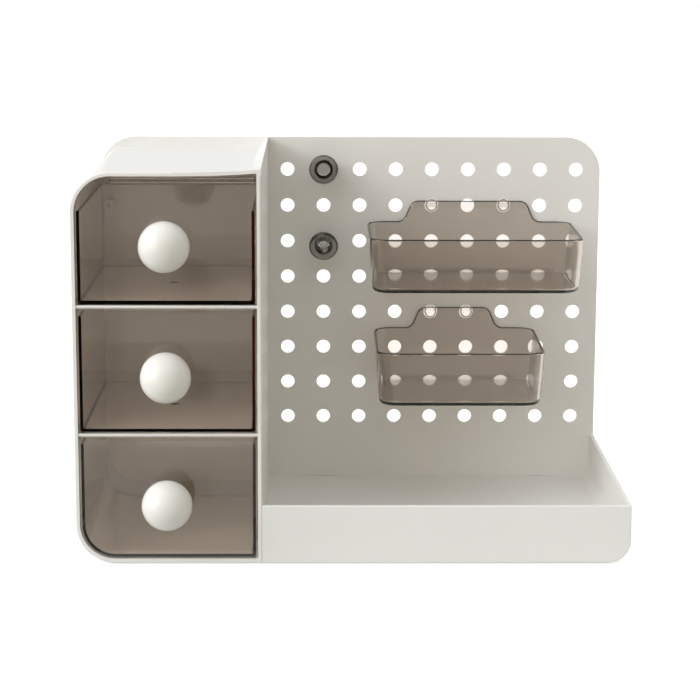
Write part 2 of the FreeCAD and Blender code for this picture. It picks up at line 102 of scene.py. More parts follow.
def new_material(name):
    """An empty material with its tree, its output and Object coordinates."""
    material = bpy.data.materials.new(name)
    material.use_nodes = True
    tree = material.node_tree
    tree.nodes.clear()
    output = add_node(tree, "ShaderNodeOutputMaterial")
    place = add_node(tree, "ShaderNodeTexCoord").outputs["Object"]
    return material, tree, output, place


# ---- properties ---------------------------------------------------------------------------------

class OrganizerSizes(bpy.types.PropertyGroup):
    """Sizes that the scene's own pieces are built with."""

    pitch: FloatProperty(name="Hole pitch", description="Distance between two peg holes",
                         default=25.0 * MM, unit="LENGTH")
    hole_d: FloatProperty(name="Peg hole", description="Diameter of a peg hole",
                          default=9.5 * MM, unit="LENGTH")
    columns: IntProperty(name="Columns", description="Peg holes side by side", default=9, min=1)
    rows: IntProperty(name="Rows", description="Peg holes one above the other", default=8, min=1)
    first_column: FloatProperty(name="First column", description="X of the leftmost holes",
                                default=-43.9 * MM, unit="LENGTH")
    top_row: FloatProperty(name="Top row", description="Height of the top holes",
                           default=226.1 * MM, unit="LENGTH")
    edge: FloatProperty(name="Edge radius", description="Softened edges of the white mouldings",
                        default=0.35 * MM, unit="LENGTH")
    shelf_edge: FloatProperty(name="Shelf edge radius", default=1.0 * MM, unit="LENGTH",
                              description="Rounded edges of the two shelves")
    drawer_edge: FloatProperty(name="Drawer edge radius", default=0.25 * MM, unit="LENGTH",
                               description="Softened edges of the drawers")


class OrganizerColours(bpy.types.PropertyGroup):
    """Colours of the finishes."""

    body: FloatVectorProperty(name="Body", description="White of the mouldings", subtype="COLOR",
                              default=to_linear("#E5E3DE"), min=0, max=1)
    knob: FloatVectorProperty(name="Knobs", description="White of the ball knobs", subtype="COLOR",
                              default=to_linear("#E2E0DA"), min=0, max=1)
    basket: FloatVectorProperty(name="Baskets", subtype="COLOR", min=0, max=1,
                                default=to_linear("#A38355"),
                                description="What the baskets' plastic lets through")
    drawer: FloatVectorProperty(name="Drawers", subtype="COLOR", min=0, max=1,
                                default=to_linear("#EBC185"),
                                description="What the drawers' plastic lets through")
    peg: FloatVectorProperty(name="Pegs", description="What the pegs' plastic lets through",
                             subtype="COLOR", default=to_linear("#847A65"), min=0, max=1)


# ---- finishes -----------------------------------------------------------------------------------

def make_white_plastic(name, colour, roughness, glow=0.0):
    """Injection-moulded ABS from a finely sparked mould: a soft sheen, no grain at a metre."""
    material, tree, output, place = new_material(name)
    spark = add_node(tree, "ShaderNodeTexNoise", {
        "Vector": place, "Scale": 1 / (0.6 * MM), "Detail": 2.0})
    cloud = add_node(tree, "ShaderNodeTexNoise", {
        "Vector": place, "Scale": 1 / (45 * MM), "Detail": 3.0})
    tone = add_node(tree, "ShaderNodeMapRange", {
        "Value": cloud.outputs["Fac"], "From Min": 0.3, "From Max": 0.7,
        "To Min": 0.985, "To Max": 1.0})
    tint = add_node(tree, "ShaderNodeVectorMath", {
        0: tuple(colour), "Scale": tone.outputs["Result"]}, operation="SCALE")
    sheen = add_node(tree, "ShaderNodeMapRange", {
        "Value": cloud.outputs["Fac"], "From Min": 0.3, "From Max": 0.7,
        "To Min": roughness - 0.03, "To Max": roughness + 0.03})
    bump = add_node(tree, "ShaderNodeBump", {
        "Height": spark.outputs["Fac"], "Strength": 0.12, "Distance": 0.02 * MM})
    surface = add_node(tree, "ShaderNodeBsdfPrincipled", {
        "Base Color": tint.outputs["Vector"], "Roughness": sheen.outputs["Result"],
        "Normal": bump.outputs["Normal"], "IOR": 1.5, "Subsurface Weight": glow,
        "Subsurface Radius": (1, 1, 1), "Subsurface Scale": 6 * MM})
    tree.links.new(surface.outputs["BSDF"], output.inputs["Surface"])
    return material


def make_smoky_plastic(name, colour, density, shine):
    """Polished clear polystyrene with a grey-brown dye: the longer the way through, the darker."""
    material, tree, output, place = new_material(name)
    wave = add_node(tree, "ShaderNodeTexNoise", {
        "Vector": place, "Scale": 1 / (18 * MM), "Detail": 1.0})
    bump = add_node(tree, "ShaderNodeBump", {
        "Height": wave.outputs["Fac"], "Strength": 0.15, "Distance": 0.1 * MM})
    haze = add_node(tree, "ShaderNodeMapRange", {
        "Value": wave.outputs["Fac"], "From Min": 0.3, "From Max": 0.7,
        "To Min": 0.02, "To Max": 0.05})
    surface = add_node(tree, "ShaderNodeBsdfPrincipled", {
        "Base Color": (1, 1, 1, 1), "Roughness": haze.outputs["Result"], "IOR": 1.57,
        "Specular IOR Level": shine, "Transmission Weight": 1.0, "Normal": bump.outputs["Normal"]})
    depth = add_node(tree, "ShaderNodeVolumeAbsorption", {
        "Color": (*colour, 1), "Density": density})
    tree.links.new(surface.outputs["BSDF"], output.inputs["Surface"])
    tree.links.new(depth.outputs["Volume"], output.inputs["Volume"])
    return material


def make_zinc(name):
    """Bright zinc plate on steel screws and washers: blue-grey, with a tumbled, uneven gloss."""
    material, tree, output, place = new_material(name)
    spot = add_node(tree, "ShaderNodeTexNoise", {
        "Vector": place, "Scale": 1 / (0.8 * MM), "Detail": 4.0})
    gloss = add_node(tree, "ShaderNodeMapRange", {
        "Value": spot.outputs["Fac"], "From Min": 0.3, "From Max": 0.7,
        "To Min": 0.24, "To Max": 0.38})
    bump = add_node(tree, "ShaderNodeBump", {
        "Height": spot.outputs["Fac"], "Strength": 0.3, "Distance": 0.03 * MM})
    surface = add_node(tree, "ShaderNodeBsdfPrincipled", {
        "Base Color": (*to_linear("#C3C6C8"), 1), "Metallic": 1.0,
        "Roughness": gloss.outputs["Result"], "Normal": bump.outputs["Normal"]})
    tree.links.new(surface.outputs["BSDF"], output.inputs["Surface"])
    return material


def make_rubber(name):
    """Pressed TPE feet: matt, faintly grained translucent grey."""
    material, tree, output, place = new_material(name)
    grain = add_node(tree, "ShaderNodeTexNoise", {
        "Vector": place, "Scale": 1 / (0.5 * MM), "Detail": 3.0})
    bump = add_node(tree, "ShaderNodeBump", {
        "Height": grain.outputs["Fac"], "Strength": 0.5, "Distance": 0.05 * MM})
    matt = add_node(tree, "ShaderNodeMapRange", {
        "Value": grain.outputs["Fac"], "From Min": 0.3, "From Max": 0.7,
        "To Min": 0.7, "To Max": 0.85})
    surface = add_node(tree, "ShaderNodeBsdfPrincipled", {
        "Base Color": (*to_linear("#B9B9B6"), 1), "Roughness": matt.outputs["Result"],
        "Normal": bump.outputs["Normal"]})
    tree.links.new(surface.outputs["BSDF"], output.inputs["Surface"])
    return material


def finish_named(name):
    """The material of that name, made at its first use."""
    if name in bpy.data.materials:
        return bpy.data.materials[name]
    colours = bpy.context.scene.organizer_colours
    if name == "moulded_white_abs":
        return make_white_plastic(name, colours.body, roughness=0.42)
    if name == "satin_white_knob":
        # a thick white ball lets light wander through it
        return make_white_plastic(name, colours.knob, roughness=0.3, glow=0.8)
    if name == "smoky_polystyrene_drawer":
        return make_smoky_plastic(name, colours.drawer, density=60.0, shine=0.3)
    if name == "smoky_polystyrene_basket":
        return make_smoky_plastic(name, colours.basket, density=205.0, shine=0.5)
    if name == "smoky_polystyrene_peg":
        return make_smoky_plastic(name, colours.peg, density=240.0, shine=0.5)
    if name == "zinc_plated_steel":
        return make_zinc(name)
    return make_rubber("pressed_grey_rubber")


# ---- meshes -------------------------------------------------------------------------------------

SHARP_ANGLE = math.radians(40)


def flatten(piece):
    """Applies the piece's modifiers, so that its mesh is plain."""
    graph = bpy.context.evaluated_depsgraph_get()
    mesh = bpy.data.meshes.new_from_object(piece.evaluated_get(graph), depsgraph=graph)
    mesh.name = piece.name
    piece.modifiers.clear()
    piece.data = mesh
    return piece


def weld(node):
    """The node's solids as one welded mesh with flat faces made whole."""
    welded = bmesh.new()
    welded.from_mesh(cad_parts[node].data)
    bmesh.ops.remove_doubles(welded, verts=welded.verts, dist=0.0005 * MM)
    bmesh.ops.dissolve_limit(welded, angle_limit=math.radians(0.3), verts=welded.verts,
                             edges=welded.edges, use_dissolve_boundaries=False)
    mesh = bpy.data.meshes.new(node)
    welded.to_mesh(mesh)
    welded.free()
    return mesh


def soften(piece, radius):
    """Rounds the sharp edges, shades smooth and keeps the flats flat."""
    for polygon in piece.data.polygons:
        polygon.use_smooth = True
    if radius:
        bevel = piece.modifiers.new("softened_edges", "BEVEL")
        bevel.width = radius
        bevel.segments = 2
        bevel.limit_method = "ANGLE"
        bevel.angle_limit = SHARP_ANGLE
        bevel.miter_outer = "MITER_ARC"
    else:
        piece.data.set_sharp_from_angle(angle=SHARP_ANGLE)
    flats = piece.modifiers.new("flat_faces", "WEIGHTED_NORMAL")
    flats.mode = "FACE_AREA"
    flats.weight = 100
    flats.keep_sharp = True
    return flatten(piece)


def show(piece, material, body, slot, *nodes):
    """Gives the piece its finish and its body, and hides the nodes it stands for."""
    piece.data.materials.clear()
    piece.data.materials.append(finish_named(material))
    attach(piece, body)
    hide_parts(*nodes)


def place_mesh(name, mesh):
    """A new object of that mesh at the origin."""
    piece = bpy.data.objects.new(name, mesh)
    bpy.context.scene.collection.objects.link(piece)
    return piece


def dress(node, name, material, body, slot, radius=0.0):
    """A softened copy of a node, which stands for it."""
    piece = place_mesh(name, weld(node))
    soften(piece, radius)
    show(piece, material, body, slot, node)
    return piece


# ---- geometry nodes -----------------------------------------------------------------------------

CORNER_STEPS = 16
SCREW_HOLE_STEPS = 32
PEG_HOLE_STEPS = 48
PANEL_TOP_R = 24.0 * MM
CABINET_R = 24.5 * MM
TRAY_R = 14.3 * MM
SCREW_HOLE_D = 3.4 * MM
LUG_SLOT = (16.4 * MM, 2.8 * MM)    # width and height
LUG_SLOTS = ((-17.3 * MM, 6.0 * MM), (132.7 * MM, 6.0 * MM))


def rounded_loop(low_x, low_z, high_x, high_z, radii):
    """Points of a rectangle, anticlockwise from the lower left, with a radius at each corner."""
    points = []
    corners = ((low_x, low_z, 1, 1, 180), (high_x, low_z, -1, 1, 270),
               (high_x, high_z, -1, -1, 0), (low_x, high_z, 1, -1, 90))
    for (x, z, inward_x, inward_z, start), radius in zip(corners, radii):
        steps = CORNER_STEPS if radius else 0
        for step in range(steps + 1):
            turn = math.radians(start + 90 * step / max(steps, 1))
            points.append((x + radius * (inward_x + math.cos(turn)),
                           z + radius * (inward_z + math.sin(turn))))
    return points


def panel_outlines():
    """Edge loops of the rear panel, its screw holes and its lug slots, drawn flat in X and Y."""
    loops = [rounded_loop(PANEL_LOW.x, PANEL_LOW.z, PANEL_HIGH.x, PANEL_HIGH.z,
                          (CABINET_R, TRAY_R, PANEL_TOP_R, PANEL_TOP_R))]
    _, _, screws = screw_groups()
    for screw in screws:
        turns = [math.tau * i / SCREW_HOLE_STEPS for i in range(SCREW_HOLE_STEPS)]
        loops.append([(screw.x + SCREW_HOLE_D / 2 * math.cos(turn),
                       screw.z + SCREW_HOLE_D / 2 * math.sin(turn)) for turn in turns])
    for x, z in LUG_SLOTS:
        half_x, half_z = LUG_SLOT[0] / 2, LUG_SLOT[1] / 2
        loops.append(rounded_loop(x - half_x, z - half_z, x + half_x, z + half_z, (0, 0, 0, 0)))
    points, edges = [], []
    for loop in loops:
        first = len(points)
        points += [(x, z, 0) for x, z in loop]
        edges += [(first + i, first + (i + 1) % len(loop)) for i in range(len(loop))]
    mesh = bpy.data.meshes.new("pegboard")
    mesh.from_pydata(points, edges, [])
    return mesh


def islands(mesh):
    """Vertex sets of the separate solids in a welded mesh."""
    near = {i: set() for i in range(len(mesh.vertices))}
    for edge in mesh.edges:
        a, b = edge.vertices
        near[a].add(b)
        near[b].add(a)
    found, seen = [], set()
    for start in near:
        if start in seen:
            continue
        group, front = {start}, [start]
        while front:
            for other in near[front.pop()] - group:
                group.add(other)
                front.append(other)
        seen |= group
        found.append(group)
    return found


def middle_of(mesh, group):
    """Middle of the box around the vertices of a group."""
    places = [mesh.vertices[i].co for i in group]
    return Vector([(min(p[k] for p in places) + max(p[k] for p in places)) / 2 for k in range(3)])


def screw_groups():
    """The rear panel's screws in one mesh, the vertex set of each and the place of each."""
    mesh = weld("rear_panel_screws")
    groups = islands(mesh)
    return mesh, groups, [middle_of(mesh, group) for group in groups]


def one_screw():
    """One rear panel screw moved to the origin, and the places of them all."""
    mesh, groups, places = screw_groups()
    shape = bmesh.new()
    shape.from_mesh(mesh)
    shape.verts.ensure_lookup_table()
    others = [shape.verts[i] for group in groups[1:] for i in group]
    bmesh.ops.delete(shape, geom=others, context="VERTS")
    bmesh.ops.translate(shape, verts=shape.verts, vec=-places[0])
    shape.to_mesh(mesh)
    shape.free()
    return place_mesh("panel_screw", mesh), places


def new_tree(name, inputs):
    """A geometry tree with the named inputs and one geometry output."""
    tree = bpy.data.node_groups.new(name, "GeometryNodeTree")
    tree.is_modifier = True
    tree.interface.new_socket("Geometry", in_out="INPUT", socket_type="NodeSocketGeometry")
    for label, kind in inputs.items():
        tree.interface.new_socket(label, in_out="INPUT", socket_type=kind)
    tree.interface.new_socket("Geometry", in_out="OUTPUT", socket_type="NodeSocketGeometry")
    return tree, add_node(tree, "NodeGroupInput").outputs


def apply_nodes(piece, tree, values):
    """Runs the tree on the piece with the given inputs and keeps the plain mesh."""
    modifier = piece.modifiers.new(tree.name, "NODES")
    modifier.node_group = tree
    for item in tree.interface.items_tree:
        if item.in_out == "INPUT" and item.name in values:
            modifier[item.identifier] = values[item.name]
    flatten(piece)


def perforated_tree():
    """A plate from flat outlines with a grid of round holes, stood upright."""
    tree, given = new_tree("perforated_plate", {
        "Pitch": "NodeSocketFloat", "Hole diameter": "NodeSocketFloat", "Columns": "NodeSocketInt",
        "Rows": "NodeSocketInt", "First column": "NodeSocketFloat", "Top row": "NodeSocketFloat",
        "Thickness": "NodeSocketFloat", "Back": "NodeSocketFloat", "Finish": "NodeSocketMaterial"})

    spans, middles = [], []
    for count, start, toward in (("Columns", "First column", 0.5), ("Rows", "Top row", -0.5)):
        gaps = add_node(tree, "ShaderNodeMath", {0: given[count], 1: 1.0}, operation="SUBTRACT")
        span = add_node(tree, "ShaderNodeMath", {0: gaps.outputs[0], 1: given["Pitch"]},
                        operation="MULTIPLY")
        middle = add_node(tree, "ShaderNodeMath", {
            0: span.outputs[0], 1: toward, 2: given[start]}, operation="MULTIPLY_ADD")
        spans.append(span.outputs[0])
        middles.append(middle.outputs[0])
    grid = add_node(tree, "GeometryNodeMeshGrid", {
        "Size X": spans[0], "Size Y": spans[1],
        "Vertices X": given["Columns"], "Vertices Y": given["Rows"]})
    centre = add_node(tree, "ShaderNodeCombineXYZ", {"X": middles[0], "Y": middles[1]})
    placed = add_node(tree, "GeometryNodeTransform", {
        "Geometry": grid.outputs["Mesh"], "Translation": centre.outputs[0]})
    radius = add_node(tree, "ShaderNodeMath", {0: given["Hole diameter"], 1: 0.5},
                      operation="MULTIPLY")
    ring = add_node(tree, "GeometryNodeCurvePrimitiveCircle", {
        "Resolution": PEG_HOLE_STEPS, "Radius": radius.outputs[0]})
    rings = add_node(tree, "GeometryNodeInstanceOnPoints", {
        "Points": placed.outputs[0], "Instance": ring.outputs[0]})
    outline = add_node(tree, "GeometryNodeMeshToCurve", {"Mesh": given["Geometry"]})
    circles = add_node(tree, "GeometryNodeRealizeInstances", {"Geometry": rings.outputs[0]})
    both = add_node(tree, "GeometryNodeJoinGeometry")
    for part in (outline, circles):
        tree.links.new(part.outputs[0], both.inputs[0])
    flat = add_node(tree, "GeometryNodeFillCurve", {"Curve": both.outputs[0]}, mode="NGONS")
    raised = add_node(tree, "GeometryNodeExtrudeMesh", {
        "Mesh": flat.outputs[0], "Offset": (0, 0, 1), "Offset Scale": given["Thickness"],
        "Individual": False})
    under = add_node(tree, "GeometryNodeFlipFaces", {"Mesh": flat.outputs[0]})
    closed = add_node(tree, "GeometryNodeJoinGeometry")
    for part in (raised, under):
        tree.links.new(part.outputs[0], closed.inputs[0])
    welded = add_node(tree, "GeometryNodeMergeByDistance", {
        "Geometry": closed.outputs[0], "Distance": 0.001 * MM})
    back = add_node(tree, "ShaderNodeCombineXYZ", {"Y": given["Back"]})
    upright = add_node(tree, "GeometryNodeTransform", {
        "Geometry": welded.outputs[0], "Translation": back.outputs[0],
        "Rotation": (math.pi / 2, 0, 0)})
    whole = add_node(tree, "GeometryNodeRealizeInstances", {"Geometry": upright.outputs[0]})
    dressed = add_node(tree, "GeometryNodeSetMaterial", {
        "Geometry": whole.outputs[0], "Material": given["Finish"]})
    add_node(tree, "NodeGroupOutput", {0: dressed.outputs[0]})
    return tree


def repeat_tree():
    """Copies of one object's mesh on the points of another."""
    tree, given = new_tree("repeated_piece", {
        "Piece": "NodeSocketObject", "Finish": "NodeSocketMaterial"})
    one = add_node(tree, "GeometryNodeObjectInfo", {"Object": given["Piece"]})
    copies = add_node(tree, "GeometryNodeInstanceOnPoints", {
        "Points": given["Geometry"], "Instance": one.outputs["Geometry"]})
    whole = add_node(tree, "GeometryNodeRealizeInstances", {"Geometry": copies.outputs[0]})
    dressed = add_node(tree, "GeometryNodeSetMaterial", {
        "Geometry": whole.outputs[0], "Material": given["Finish"]})
    add_node(tree, "NodeGroupOutput", {0: dressed.outputs[0]})
    return tree


# ---- operators ----------------------------------------------------------------------------------

class ORGANIZER_OT_cabinet(bpy.types.Operator):
    """Cabinet shell and its two shelves"""

    bl_idname = "organizer.cabinet"
    bl_label = "Cabinet"

    def execute(self, context):
        sizes = context.scene.organizer_sizes
        for node, name, edge in (("cabinet_shell", "cabinet_case", sizes.edge),
                                 ("shelf_lower", "lower_shelf", sizes.shelf_edge),
                                 ("shelf_upper", "upper_shelf", sizes.shelf_edge)):
            dress(node, name, "moulded_white_abs", "frame", "white_body", edge)
        return {"FINISHED"}


class ORGANIZER_OT_tray(bpy.types.Operator):
    """Tray with its front lip and right wall"""

    bl_idname = "organizer.tray"
    bl_label = "Tray"

    def execute(self, context):
        edge = context.scene.organizer_sizes.edge
        dress("tray_base", "desk_tray", "moulded_white_abs", "frame", "white_body", edge)
        return {"FINISHED"}


class ORGANIZER_OT_pegboard(bpy.types.Operator):
    """Rear panel with its grid of peg holes"""

    bl_idname = "organizer.pegboard"
    bl_label = "Pegboard"

    def execute(self, context):
        sizes = context.scene.organizer_sizes
        board = place_mesh("pegboard", panel_outlines())
        board.data.materials.append(finish_named("moulded_white_abs"))
        apply_nodes(board, perforated_tree(), {
            "Pitch": sizes.pitch, "Hole diameter": sizes.hole_d, "Columns": sizes.columns,
            "Rows": sizes.rows, "First column": sizes.first_column, "Top row": sizes.top_row,
            "Thickness": PANEL_HIGH.y - PANEL_LOW.y, "Back": PANEL_HIGH.y,
            "Finish": finish_named("moulded_white_abs")})
        soften(board, sizes.edge)
        show(board, "moulded_white_abs", "frame", "white_body", "rear_panel")
        return {"FINISHED"}


DRAWER_FLOORS = (6.5 * MM, 86.5 * MM, 166.5 * MM)   # upper faces of the floors
# gate mark in each drawer's floor: a flattened ball, sunk by half of its height
GATE_MARK_Y = -12.8 * MM
GATE_MARK_R = 3.6 * MM
GATE_MARK_H = 1.0 * MM


class ORGANIZER_OT_drawers(bpy.types.Operator):
    """Three smoky drawers"""

    bl_idname = "organizer.drawers"
    bl_label = "Drawers"

    def execute(self, context):
        edge = context.scene.organizer_sizes.drawer_edge
        for place, floor in zip(DRAWERS, DRAWER_FLOORS):
            node = "drawer_" + place
            drawer = place_mesh(place + "_drawer_box", weld(node))
            low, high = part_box(node)
            mark = Vector(((low.x + high.x) / 2, GATE_MARK_Y, floor + GATE_MARK_H / 2))
            join_shells(drawer, [dimple(mark, GATE_MARK_R, GATE_MARK_H)], "DIFFERENCE")
            soften(drawer, edge)
            show(drawer, "smoky_polystyrene_drawer", place + "_drawer", "smoky_drawer", node)
        return {"FINISHED"}


class ORGANIZER_OT_knobs(bpy.types.Operator):
    """Ball knobs with their screws and washers"""

    bl_idname = "organizer.knobs"
    bl_label = "Knobs"

    def execute(self, context):
        for place in DRAWERS:
            for node, name, material, slot in (
                    ("knob_", "_ball_knob", "satin_white_knob", "white_knob"),
                    ("knob_washer_", "_washer", "zinc_plated_steel", "zinc_steel"),
                    ("knob_screw_", "_knob_bolt", "zinc_plated_steel", "zinc_steel")):
                dress(node + place, place + name, material, place + "_drawer", slot)
        return {"FINISHED"}


PANEL_FACE = PANEL_LOW.y
BASKET_BACK = PANEL_FACE - 0.4 * MM
BASKET_FRONT = PANEL_FACE - 88.0 * MM
WALL = 1.8 * MM
FLOOR = 2.0 * MM
DRAFT = 2.4 * MM            # each side leans in by this much from rim to underside
CORNER_R = 12.0 * MM
FOOT_R = 2.6 * MM           # between the sides and the underside
INNER_R = WALL              # between the sides and the floor
SHOULDER_R = 6.5 * MM
SIDE_STEPS, SHOULDER_STEPS, FOOT_STEPS, INNER_STEPS = 12, 8, 5, 4
# outer half of the rim's profile, inset and drop: its slopes turn the view down the wall, so it
# looks dark
RIM = ((0, 1.2 * MM), (0.07 * MM, 1.02 * MM), (0.72 * MM, 0.12 * MM), (0.9 * MM, 0))
HOOK_R = 4.3 * MM
HOOK_BORE_R = 3.1 * MM
HOOK_TILT = math.radians(12)
HOOK_LIFT = 10.92 * MM      # above the rim
HOOK_START, HOOK_END, HOOK_BORE_END = -2.2 * MM, 6.24 * MM, -1.2 * MM   # from the panel's middle
HOOK_CORE_R = 0.5 * MM      # of the small flats that close its ends
HOOK_STEPS, HOOK_TIP_STEPS = 32, 4
PAD_SIZE = (6.0 * MM, 1.4 * MM, 1.4 * MM)
PAD_DROP = 0.1 * MM
PAD_INSETS = (18.5 * MM, 22.0 * MM, 9.0 * MM)       # from a side, the front and the back
PIT_R = 0.9 * MM            # gate mark in the tab
# in mm: centre, width, rim, underside, tab's width at its top and foot, fall of the rim, height of
# the gate mark, columns of the hooks
BASKET_SIZES = {
    "wide": (82.1, 142.0, 190.1, 153.1, 79.0, 91.0, 0.8, 191.9, (56.1, 106.1)),
    "narrow": (72.6, 113.0, 115.1, 76.9, 48.0, 60.0, 2.0, 116.2, (56.1, 81.1)),
}
TAB_RISE = 14.4 * MM


def shoulder_line(tab_half, foot_half, rim, top):
    """Outline of a tab's right half from its foot to its top: points with their upward normals."""
    steep = math.atan2(top - rim, foot_half - tab_half)
    reach = SHOULDER_R * math.tan(steep / 2)
    line = []
    for i in range(SHOULDER_STEPS + 1):
        turn = steep * i / SHOULDER_STEPS
        line.append((foot_half + reach - SHOULDER_R * math.sin(turn),
                     rim + SHOULDER_R * (1 - math.cos(turn)), turn))
    for i in range(SHOULDER_STEPS + 1):
        turn = steep * (1 - i / SHOULDER_STEPS)
        line.append((tab_half - reach + SHOULDER_R * math.sin(turn),
                     top - SHOULDER_R * (1 - math.cos(turn)), turn))
    return line


def basket_columns(centre, half, rim, base, tab_half, foot_half, fall):
    """Rows of points over the wall, one row for each place around the basket."""
    def lean(z):
        return DRAFT * max(0.0, min(1.0, (rim - z) / (rim - base)))

    def corner(across, along, turn):
        def at(inset, z):
            x = centre + across * (half - lean(z) - CORNER_R)
            y = BASKET_BACK - CORNER_R if along > 0 else BASKET_FRONT + lean(z) + CORNER_R
            radius = CORNER_R - inset
            return Vector((x + radius * math.cos(turn), y + radius * math.sin(turn), z))
        return at

    def back(across):
        def at(inset, z):
            scale = (half - lean(z) - CORNER_R) / (half - CORNER_R)
            return Vector((centre + across * scale, BASKET_BACK - inset, z))
        return at

    def rim_at(y):
        return rim - fall * max(0.0, BASKET_BACK - WALL - y) / (BASKET_BACK - BASKET_FRONT)

    stations = []
    for across, along, first in ((-1, -1, 180), (1, -1, 270), (1, 1, 0)):
        for i in range(SIDE_STEPS + 1):
            turn = math.radians(first + 90 * i / SIDE_STEPS)
            place = corner(across, along, turn)
            stations.append((place, rim_at(place(0, rim).y), 0.0))
    right = shoulder_line(tab_half, foot_half, rim, rim + TAB_RISE)
    stations += [(back(x), z, turn) for x, z, turn in right]
    stations += [(back(-x), z, -turn) for x, z, turn in reversed(right)]
    for i in range(SIDE_STEPS + 1):
        stations.append((corner(-1, 1, math.radians(90 + 90 * i / SIDE_STEPS)), rim, 0.0))

    rows = []
    for place, top, turn in stations:
        row = []
        for i in range(FOOT_STEPS + 1):
            a = math.pi / 2 * i / FOOT_STEPS
            row.append(place(FOOT_R * (1 - math.sin(a)), base + FOOT_R * (1 - math.cos(a))))
        for inset, drop in RIM + tuple((WALL - inset, drop) for inset, drop in reversed(RIM[:-1])):
            point = place(inset, top - drop * math.cos(turn))
            row.append(point - Vector((drop * math.sin(turn), 0, 0)))
        for i in range(INNER_STEPS + 1):
            a = math.pi / 2 * i / INNER_STEPS
            row.append(place(WALL + INNER_R * (1 - math.cos(a)),
                             base + FLOOR + INNER_R * (1 - math.sin(a))))
        rows.append(row)
    return rows


def grid_shell(rows):
    """Closed mesh from rows of points, capped over their first and last points."""
    shell = bmesh.new()
    grid = [[shell.verts.new(point) for point in row] for row in rows]
    for row, following in zip(grid, grid[1:] + grid[:1]):
        for k in range(len(row) - 1):
            shell.faces.new((row[k], following[k], following[k + 1], row[k + 1]))
    shell.faces.new([row[0] for row in reversed(grid)])
    shell.faces.new([row[-1] for row in grid])
    bmesh.ops.remove_doubles(shell, verts=shell.verts, dist=0.001 * MM)
    bmesh.ops.recalc_face_normals(shell, faces=shell.faces)
    return shell


def hook_rows(x, z):
    """Rows of points of a hollow hook that slopes down to the rear, ready for grid_shell."""
    along = Vector((0, math.cos(HOOK_TILT), -math.sin(HOOK_TILT)))
    up = Vector((0, math.sin(HOOK_TILT), math.cos(HOOK_TILT)))
    middle = Vector((x, (PANEL_LOW.y + PANEL_HIGH.y) / 2, z))
    tip = HOOK_END - HOOK_R     # where its outside starts to round over
    reach = tip + math.sqrt(HOOK_R ** 2 - HOOK_BORE_R ** 2)
    bend = math.acos(HOOK_BORE_R / HOOK_R) / HOOK_TIP_STEPS
    profile = [(HOOK_CORE_R, HOOK_START), (HOOK_R, HOOK_START), (HOOK_R, tip)]
    profile += [(HOOK_R * math.cos(bend * i), tip + HOOK_R * math.sin(bend * i))
                for i in range(1, HOOK_TIP_STEPS)]
    profile += [(HOOK_BORE_R, reach), (HOOK_BORE_R, HOOK_BORE_END), (HOOK_CORE_R, HOOK_BORE_END)]
    rows = []
    for i in range(HOOK_STEPS):
        turn = math.tau * i / HOOK_STEPS
        side = math.cos(turn) * Vector((1, 0, 0)) + math.sin(turn) * up
        rows.append([middle + along * t + side * r for r, t in profile])
    return rows


def join_shells(piece, shells, operation):
    """Joins closed shells to the piece or cuts them out of it."""
    mesh = bpy.data.meshes.new("tool")
    whole = bmesh.new()
    for shell in shells:
        part = bpy.data.meshes.new("part")
        shell.to_mesh(part)
        shell.free()
        whole.from_mesh(part)
        bpy.data.meshes.remove(part)
    whole.to_mesh(mesh)
    whole.free()
    tool = place_mesh("tool", mesh)
    change = piece.modifiers.new("change", "BOOLEAN")
    change.operation = operation
    change.object = tool
    change.solver = "EXACT"
    flatten(piece)
    bpy.data.objects.remove(tool)


def dimple(place, radius, height):
    """Flattened ball that cuts the mark of a gate."""
    ball = bmesh.new()
    shape = Matrix.Translation(place) @ Matrix.Diagonal((radius, radius, height, 1))
    bmesh.ops.create_uvsphere(ball, u_segments=24, v_segments=12, radius=1.0, matrix=shape)
    return ball


def pad_shell(x, y, base):
    """Small standing pad under a basket."""
    pad = bmesh.new()
    shape = Matrix.Translation((x, y, base - PAD_DROP)) @ Matrix.Diagonal((*PAD_SIZE, 1))
    bmesh.ops.create_cube(pad, size=1.0, matrix=shape)
    bmesh.ops.bevel(pad, geom=pad.edges, offset=0.2 * MM, segments=2, affect="EDGES")
    return pad


def build_basket(place):
    """Basket with a bevelled rim, a tab, two hollow hooks, four pads and a gate mark."""
    *lengths, hooks = BASKET_SIZES[place]
    centre, width, rim, base, tab, foot, fall, gate = (length * MM for length in lengths)
    name = place + "_hanging_basket"
    basket = place_mesh(name, bpy.data.meshes.new(name))
    shell = grid_shell(basket_columns(centre, width / 2, rim, base, tab / 2, foot / 2, fall))
    shell.to_mesh(basket.data)
    shell.free()
    from_side, from_front, from_back = PAD_INSETS
    pads = [pad_shell(centre + across * (width / 2 - from_side), y, base) for across in (-1, 1)
            for y in (BASKET_FRONT + from_front, BASKET_BACK - from_back)]
    pins = [grid_shell(hook_rows(x * MM, rim + HOOK_LIFT)) for x in hooks]
    join_shells(basket, pads + pins, "UNION")
    pit = Vector((centre, BASKET_BACK - WALL - PIT_R / 3, gate))
    join_shells(basket, [dimple(pit, PIT_R, PIT_R)], "DIFFERENCE")
    return basket


class ORGANIZER_OT_baskets(bpy.types.Operator):
    """Two smoky baskets that hang on the pegboard"""

    bl_idname = "organizer.baskets"
    bl_label = "Baskets"

    def execute(self, context):
        for place in BASKETS:
            basket = build_basket(place)
            soften(basket, 0.0)
            show(basket, "smoky_polystyrene_basket", place + "_basket", "smoky_basket",
                 "basket_" + place)
        return {"FINISHED"}


class ORGANIZER_OT_pegs(bpy.types.Operator):
    """Two round pegs in the pegboard"""

    bl_idname = "organizer.pegs"
    bl_label = "Pegs"

    def execute(self, context):
        for place in PEGS:
            dress("peg_" + place, place + "_round_peg", "smoky_polystyrene_peg", place + "_peg",
                  "clear_peg")
        return {"FINISHED"}


